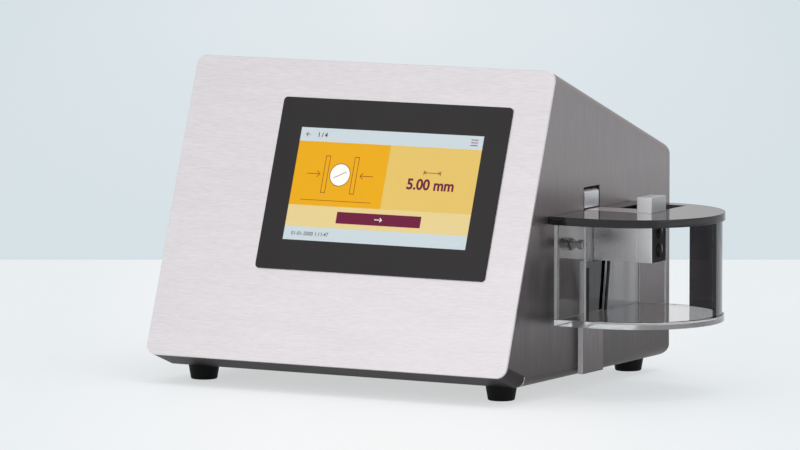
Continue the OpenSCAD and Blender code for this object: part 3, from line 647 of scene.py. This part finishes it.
class TESTER_OT_stage(bpy.types.Operator):
    """Sets the camera, the floor with its backdrop, and the soft lights"""

    bl_idname = "tester.stage"
    bl_label = "Stage"

    def execute(self, context):
        stage = context.scene.tester_stage
        camera = bpy.data.cameras.new("Camera")
        camera.lens = stage.focal
        camera.sensor_width = 36.0
        camera.clip_end = 100.0
        holder = add_object("Camera", camera)
        holder.location = stage.eye
        holder.rotation_euler = (math.pi / 2 - stage.down, 0, stage.around)
        context.scene.camera = holder
        self.floor(stage)
        self.world(context, stage)
        for name, place, size, power in SOFTBOXES:
            self.lamp(name, Vector(place), Vector(stage.aim), size, power)
        return {"FINISHED"}

    def floor(self, stage):
        """Flat floor, whose colour turns into the backdrop's past a distance from the camera;
        painted light makes the floor lighter round the object and the backdrop lighter in its
        middle.

        Depth and aside are the distances from the camera, along and across its view."""
        reach, n = 14.0, 33
        middle_half, middle_fade = 0.09, 0.18
        glow_depth, glow_half = 2.6, 0.5
        x, y = np.meshgrid(np.linspace(-reach, reach, n), np.linspace(-reach, reach, n))
        points = np.stack([x, y, np.zeros_like(x)], axis=-1).reshape(-1, 3)
        f = Finish("Floor", Roughness=0.55, Specular_IOR_Level=0.3)
        ahead = (-math.sin(stage.around), math.cos(stage.around), 0)
        right = (math.cos(stage.around), math.sin(stage.around), 0)
        from_eye = f.vectors("SUBTRACT", f.place(), (stage.eye[0], stage.eye[1], 0))
        depth = f.vectors("DOT_PRODUCT", from_eye, ahead, "Value")
        aside = f.maths("ABSOLUTE", f.vectors("DOT_PRODUCT", from_eye, right, "Value"))
        beyond = depth > stage.floor_end
        # Painted light: the floor is lighter round the object than towards the sides.
        near = f.mix(((aside - middle_half) / middle_fade).clamped(), tuple(stage.floor_near),
                     tuple(stage.floor_far))
        # Painted light: the backdrop is lighter in its middle, just past the floor's end.
        painted_glow = (((depth - stage.floor_end) / glow_depth).clamped()
                * (1 - aside / glow_half).clamped())
        drop = f.mix(painted_glow, tuple(stage.backdrop), tuple(stage.backdrop_light))
        colour = f.mix(beyond, near, drop)
        glow = f.make("ShaderNodeBsdfPrincipled", {}, {
            "Base Color": (0, 0, 0), "Specular IOR Level": 0.0, "Roughness": 1.0,
            "Emission Color": colour, "Emission Strength": 1.0})
        share = (self.seen(f) * (0.60 + beyond * 0.4)).clamped()
        mixed = f.make("ShaderNodeMixShader", {}, (share, f.surface(Base_Color=colour), glow))
        floor = new_mesh("floor", points, grid_faces(n, n, False), f.done(mixed))

    def seen(self, f):
        """One where the camera, a gloss or a clear plate looks at the surface."""
        camera, gloss, through = (f.make("ShaderNodeLightPath", {}, (), ray) for ray in (
            "Is Camera Ray", "Is Glossy Ray", "Is Transmission Ray"))
        return (camera + gloss * 0.6 + through).clamped()

    def world(self, context, stage):
        """Even room light, with the backdrop's colour where the camera looks past the floor."""
        world = bpy.data.worlds.new("Studio")
        w = Nodes(world)
        room = w.make("ShaderNodeBackground", {}, {"Color": tuple(stage.room_light)})
        drop = w.make("ShaderNodeBackground", {}, {"Color": tuple(stage.backdrop)})
        camera, through = (w.make("ShaderNodeLightPath", {}, (), ray) for ray in (
            "Is Camera Ray", "Is Transmission Ray"))
        mixed = w.make("ShaderNodeMixShader", {}, (
            w.maths("MAXIMUM", camera, through), room, drop))
        w.make("ShaderNodeOutputWorld", {}, {"Surface": mixed})
        context.scene.world = world

    def lamp(self, name, place, aim, size, power):
        light = bpy.data.lights.new(name, "AREA")
        light.shape = "SQUARE"
        light.size = size
        light.energy = power
        lamp = add_object(name, light)
        lamp.location = place
        lamp.rotation_euler = (place - aim).to_track_quat("Z", "Y").to_euler()


class TESTER_OT_housing(bpy.types.Operator):
    """Finishes the front panel, the folded sheet, the chin and the base"""

    bl_idname = "tester.housing"
    bl_label = "Housing"

    def execute(self, context):
        c = colours()
        panel = brushed_metal("Brushed panel", c.panel, (110, 1150, 1150), 0.40, 0.24, 0.06)
        shell = folded_metal("Brushed shell", c.shell)
        # Painted shade: the chin, the front frame, the base and the screen clamps get the dark
        # colour that stands in for that shade.
        painted_shade = painted("Chin paint", c.chin, 0.42, 1800.0, 0.010, 0.22)
        eased_copy("front_plate", "front_panel", sizes().metal_edge, panel)
        put_on(frame["nodes"]["body_shell"], shell)
        eased_copy("rear_plate", "rear_panel", sizes().metal_edge, shell)
        for node in ("chin_cover", "front_frame", "base_plate", "screen_clamps"):
            put_on(frame["nodes"][node], painted_shade)
        # The seam is real; its bright steel bead is a painted highlight standing in for the
        # glint along it.
        chin_low, chin_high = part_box("chin_cover")
        r = sizes().seam_r
        from_rear, from_foot = 0.9 * MM, 2.5 * MM
        middle = (chin_high[0], chin_high[1] - r - from_rear, chin_low[2] + r + from_foot)
        seam_bead("chin_seam", middle, r, sizes().seam_bead,
                  turned_metal("Seam glint steel", (0.90, 0.89, 0.90), 0.2))
        return {"FINISHED"}


class TESTER_OT_feet(bpy.types.Operator):
    """Turns the four rubber feet"""

    bl_idname = "tester.feet"
    bl_label = "Feet"

    def execute(self, context):
        rubber = painted("Foot rubber", colours().rubber, 0.58, 1100.0, 0.02, 0.15)
        # In millimetres: the flat sole and its round edge, and the stepped hole for the screw.
        sole_r, sole_round = 8.8, 1.2
        head_r, head_depth, bore_r = 5, 5, 2.1
        sole = [(sole_r + sole_round * math.sin(a), sole_round - sole_round * math.cos(a))
                for a in np.linspace(0, 1.35, 6)]
        for node in ("foot_front_left", "foot_front_right", "foot_rear_left",
                     "foot_rear_right"):
            low, high = (np.array(p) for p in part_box(node))
            tall = (high[2] - low[2]) / MM
            top_r = (high[0] - low[0]) / MM / 2
            profile = [(head_r, 0), *sole, (top_r - 0.35, tall - 0.7),
                       (top_r - 0.1, tall - 0.35), (top_r - 0.3, tall), (bore_r, tall),
                       (bore_r, head_depth), (head_r, head_depth), (head_r, 0)]
            foot = revolved(node.replace("foot", "rubber_foot"), profile,
                            ((low[0] + high[0]) / 2, (low[1] + high[1]) / 2, 0), rubber)
            carry(foot, "housing", "rubber")
            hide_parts(node)
        return {"FINISHED"}


class TESTER_OT_display(bpy.types.Operator):
    """Makes the display glass and the page that shows on it"""

    bl_idname = "tester.display"
    bl_label = "Display"

    def execute(self, context):
        c = colours()
        border = painted("Glass border", c.glass_border, 0.16, 60.0, 0.0, 0.33)
        eased_copy("display_front", "display_glass", 0.3 * MM, border)
        put_on(frame["nodes"]["screen_module"], lit_print("Screen back", c.orange, 0.0))
        # Millimetres from the screen's middle, X to the right and Y up.
        w = sizes().screen_w / MM / 2
        h = sizes().screen_h / MM / 2
        bar_low = h - 10.4
        bar_mid = (bar_low + h) / 2
        band_top, band_low = -16.2, -32.6
        split = 0.6
        button_x0, button_x1, button_y0, button_y1 = -34.8, 36.4, -28.8, -20.0
        button_mid = (button_y0 + button_y1) / 2
        blue = lit_print("Bar blue", c.bar_blue)
        maroon = lit_print("Maroon", c.maroon, 0.12)
        white = lit_print("Figure white", (0.9, 0.88, 0.82), 0.25)
        brown = lit_print("Figure line", (0.30, 0.075, 0.02), 0.12)
        grey = lit_print("Clock grey", (0.075, 0.07, 0.072))
        Ink("screen_bars", 1, blue).shape(rectangle(-w, bar_low, w, h)).shape(
            rectangle(-w, -h, w, band_low)).done()
        Ink("screen_picture_block", 1, lit_print("Picture orange", c.orange, 0.17)).shape(
            rectangle(-w, band_top, split, bar_low)).done()
        Ink("screen_reading_block", 1, lit_print("Reading yellow", c.yellow)).shape(
            rectangle(split, band_top, w, bar_low)).done()
        Ink("screen_band", 1, lit_print("Band cream", c.cream)).shape(
            rectangle(-w, band_low, w, band_top)).done()
        Ink("screen_button", 2, maroon).shape(
            round_rect(button_x0, button_y0, button_x1, button_y1, 0.5, 4)).done()
        signs = Ink("screen_signs", 2, maroon)
        signs.line([(-68.6, bar_mid), (-72.4, bar_mid)], 0.5)
        signs.head((-72.3, bar_mid), -1, 1.7, 1.7, 0.5)
        for k in (-1, 0, 1):
            signs.line([(67.0, bar_mid + 2.1 * k), (72.8, bar_mid + 2.1 * k)], 0.6)
        signs.done()
        arrow = Ink("screen_button_arrow", 3, white)
        arrow.line([(-2.6, button_mid), (3.6, button_mid)], 0.55)
        arrow.head((3.5, button_mid), 1, 1.7, 1.6, 0.55).done()
        digits("screen_reading", "5.00 mm", 8.6, (39.2, 4.2), 2, maroon)
        digits("screen_clock", "01-01-2000 1:11:47", 2.9, (-55.0, (band_low - h) / 2), 2,
               grey, 0.008)
        digits("screen_step", "1 / 4", 3.5, (-58.0, bar_mid), 2, maroon)
        self.measure_sign(brown)
        self.figure(brown, white)
        return {"FINISHED"}

    def measure_sign(self, brown):
        """Dimension sign over the reading: a double arrow between two short bars."""
        x, y, reach = 39.2, 13.2, 7.0
        sign = Ink("screen_measure_sign", 2, brown)
        for s in (-1, 1):
            sign.line([(x + s * reach, y - 1.7), (x + s * reach, y + 1.7)], 0.6)
            sign.head((x + s * (reach - 0.4), y), s, 1.6, 1.1, 0.5)
        sign.line([(x - reach + 0.6, y), (x + reach - 0.6, y)], 0.5)
        sign.done()

    def figure(self, brown, white):
        """Plain line figure: a round tablet seen flat, between two plates that close on it."""
        x, y, r = -38.0, 8.0, 8.5
        plate_near, plate_far, plate_half = 10.5, 14.0, 14.0
        arrow_tip, arrow_tail = 17.0, 28.0
        disc = arc(x, y, r, 0, 360, 49)[:-1]
        Ink("screen_tablet_fill", 2, white).shape(disc).done()
        lines = Ink("screen_figure_lines", 3, brown)
        lines.line(disc, 0.55, True)
        lines.line([(x - 0.62 * r, y - 0.3 * r), (x + 0.62 * r, y + 0.3 * r)], 0.5)
        for s in (-1, 1):
            a, b = sorted((x + s * plate_near, x + s * plate_far))
            lines.line(rectangle(a, y - plate_half, b, y + plate_half), 0.5, True)
            lines.line([(x + s * arrow_tip, y), (x + s * arrow_tail, y)], 0.5)
            lines.head((x + s * (arrow_tip + 0.1), y), -s, 2.5, 2.4, 0.5)
        lines.line([(x - 30, y - 20), (x + 30, y - 20)], 0.4)
        lines.done()


class TESTER_OT_test_line(bpy.types.Operator):
    """Finishes the jaw, the anvil with its beam, and the bar that carries them"""

    bl_idname = "tester.test_line"
    bl_label = "Jaw and anvil"

    def execute(self, context):
        c = colours()
        edge = sizes().metal_edge
        ground = ground_metal("Ground steel", c.ground)
        # Painted light: the bar gets a copy of the shell steel made 1.5 times as bright.
        shell = folded_metal("Brushed bar lit copy", shade(c.shell, 1.5))
        jaw = ground_metal("Jaw steel", shade(c.ground, 0.9))
        beam = eased_copy("beam_block", "anvil_beam", edge, ground)
        # Painted light: the beam's +X end faces get a bright diffuse finish that stands in for
        # the light the lid and shield keep from them.
        face_finish(beam, (1, 0, 0), painted("Beam end painted light", (0.82, 0.80, 0.80), 0.4, 700.0))
        anvil = eased_copy("anvil_block", "anvil", edge, ground)
        # Painted shade: the anvil's +X faces get a darker copy of the ground steel.
        face_finish(anvil, (1, 0, 0), ground_metal("Anvil shaded side", shade(c.ground, 0.62), 0.34))
        eased_copy("jaw_block", "moving_jaw", 0.2 * MM, jaw, "jaw")
        bar = eased_copy("support_plate", "support_bar", edge, shell)
        # Painted highlight: the bar's -Y faces, its cut edge, get a near-white finish for the
        # bright line along it.
        face_finish(bar, (0, -1, 0), painted("Bar edge painted highlight", (0.80, 0.78, 0.79), 0.3, 900.0))
        return {"FINISHED"}


class TESTER_OT_station(bpy.types.Operator):
    """Finishes the tinted lid and shield, and the clear tray"""

    bl_idname = "tester.station"
    bl_label = "Acrylic station"

    def execute(self, context):
        c = colours()
        edge = sizes().acrylic_edge
        clear = acrylic("Clear acrylic", c.clear)
        smoke = acrylic("Smoke acrylic", c.smoke)
        rim = acrylic("Clear rim", (0.95, 0.945, 0.946), 0.30, 0.55)
        soft_rim = acrylic("Clear soft rim", (0.95, 0.945, 0.946), 0.12, 0.84)
        for node, normal, finish in (
                ("tray_bottom", (0, 0, 1), soft_rim), ("tray_back", (1, 0, 0), rim),
                ("tray_side_front", (0, 1, 0), rim), ("tray_side_rear", (0, 1, 0), rim)):
            rim_finish(eased_copy("clear_" + node, node, edge, clear), normal, finish)
        eased_copy("tinted_lid", "lid", edge, smoke, "lid")
        eased_copy("tinted_shield", "curved_shield", 0.25 * MM, smoke, "shield")
        black = painted("Strip rubber", c.rubber, 0.5)
        for node in ("edge_strip", "sensor_lead"):
            put_on(frame["nodes"][node], black)
        return {"FINISHED"}


class TESTER_OT_fasteners(bpy.types.Operator):
    """Finishes the screws and spacers"""

    bl_idname = "tester.fasteners"
    bl_label = "Screws"

    def execute(self, context):
        bright = turned_metal("Screw steel", (0.42, 0.41, 0.42))
        dull = turned_metal("Socket screw steel", (0.34, 0.33, 0.34))
        bead = turned_metal("Bead screw steel", (0.17, 0.165, 0.17), 0.08)
        for node, finish in (("foot_screws", bright), ("rear_screws", bright),
                             ("tray_spacers", bright), ("board_standoffs", bright),
                             ("beam_screws", dull), ("bar_screws", dull)):
            put_on(frame["nodes"][node], finish)
        eased_copy("anvil_cap_screws", "anvil_screws", 0.25 * MM, dull)
        for side in ("front", "rear"):
            eased_copy(f"tray_{side}_screw_steel", f"tray_screw_{side}", 0.15 * MM, bead,
                       f"{side}_tray_screw")
        return {"FINISHED"}


class TESTER_OT_rear(bpy.types.Operator):
    """Finishes the mains inlet, its switch and the data port"""

    bl_idname = "tester.rear"
    bl_label = "Rear sockets"

    def execute(self, context):
        plastic = painted("Socket plastic", (0.02, 0.02, 0.021), 0.4, 1600.0, 0.008)
        metal = turned_metal("Port metal", (0.5, 0.5, 0.52))
        eased_copy("mains_socket", "power_inlet", 0.4 * MM, plastic)
        eased_copy("rocker_cap", "power_rocker", 0.5 * MM, plastic, "rocker")
        eased_copy("data_socket", "data_port", 0.25 * MM, metal)
        return {"FINISHED"}


class TESTER_OT_inside(bpy.types.Operator):
    """Finishes the drive and the electronics inside the housing"""

    bl_idname = "tester.inside"
    bl_label = "Inside"

    def execute(self, context):
        milled = ground_metal("Milled aluminium", (0.62, 0.63, 0.64), 0.34)
        bright = turned_metal("Turned steel", (0.55, 0.55, 0.57), 0.2)
        bronze = turned_metal("Bronze", (0.50, 0.30, 0.11), 0.3)
        black = painted("Motor lacquer", (0.02, 0.02, 0.02), 0.4)
        green = painted("Board lacquer", (0.02, 0.12, 0.05), 0.35, 900.0, 0.02)
        case = painted("Supply case", (0.40, 0.41, 0.42), 0.45)
        finishes = {
            milled: ("drive_base", "drive_pillars", "motor_bracket", "rear_bearing_block",
                     "front_bearing_block", "carriage", "load_cell", "shaft_coupling"),
            bright: ("motor_shaft", "lead_screw", "rear_bearing", "front_bearing",
                     "guide_rod_left", "guide_rod_right"),
            bronze: ("drive_nut", "slide_bushes"),
            black: ("stepper_motor", "home_switch"),
            green: ("main_board",),
            case: ("power_supply",),
        }
        for finish, nodes in finishes.items():
            for node in nodes:
                put_on(frame["nodes"][node], finish)
        return {"FINISHED"}


class TESTER_PT_panel(bpy.types.Panel):
    """Lists the steps that build the instrument"""

    bl_idname = "TESTER_PT_panel"
    bl_label = "Tablet tester"
    bl_space_type = "VIEW_3D"
    bl_region_type = "UI"
    bl_category = "Tester"

    def draw(self, context):
        for step in STEPS:
            self.layout.operator(step.bl_idname)
        for name in ("tester_sizes", "tester_colours", "tester_stage"):
            group = getattr(context.scene, name)
            for key in group.__annotations__:
                self.layout.prop(group, key)


GROUPS = (TesterSizes, TesterColours, TesterStage)
STEPS = (TESTER_OT_stage, TESTER_OT_housing, TESTER_OT_feet, TESTER_OT_display,
         TESTER_OT_test_line, TESTER_OT_station, TESTER_OT_fasteners, TESTER_OT_rear,
         TESTER_OT_inside)


def register():
    for kind in (*GROUPS, *STEPS, TESTER_PT_panel):
        bpy.utils.register_class(kind)
    scene = bpy.types.Scene
    scene.tester_sizes = bpy.props.PointerProperty(type=TesterSizes)
    scene.tester_colours = bpy.props.PointerProperty(type=TesterColours)
    scene.tester_stage = bpy.props.PointerProperty(type=TesterStage)


def unregister():
    for name in ("tester_sizes", "tester_colours", "tester_stage"):
        delattr(bpy.types.Scene, name)
    for kind in reversed((*GROUPS, *STEPS, TESTER_PT_panel)):
        bpy.utils.unregister_class(kind)


def main():
    register()
    bpy.context.scene.view_settings.view_transform = "Standard"
    for step in STEPS:
        group, name = step.bl_idname.split(".")
        getattr(getattr(bpy.ops, group), name)()


if __name__ == "__main__":
    main()
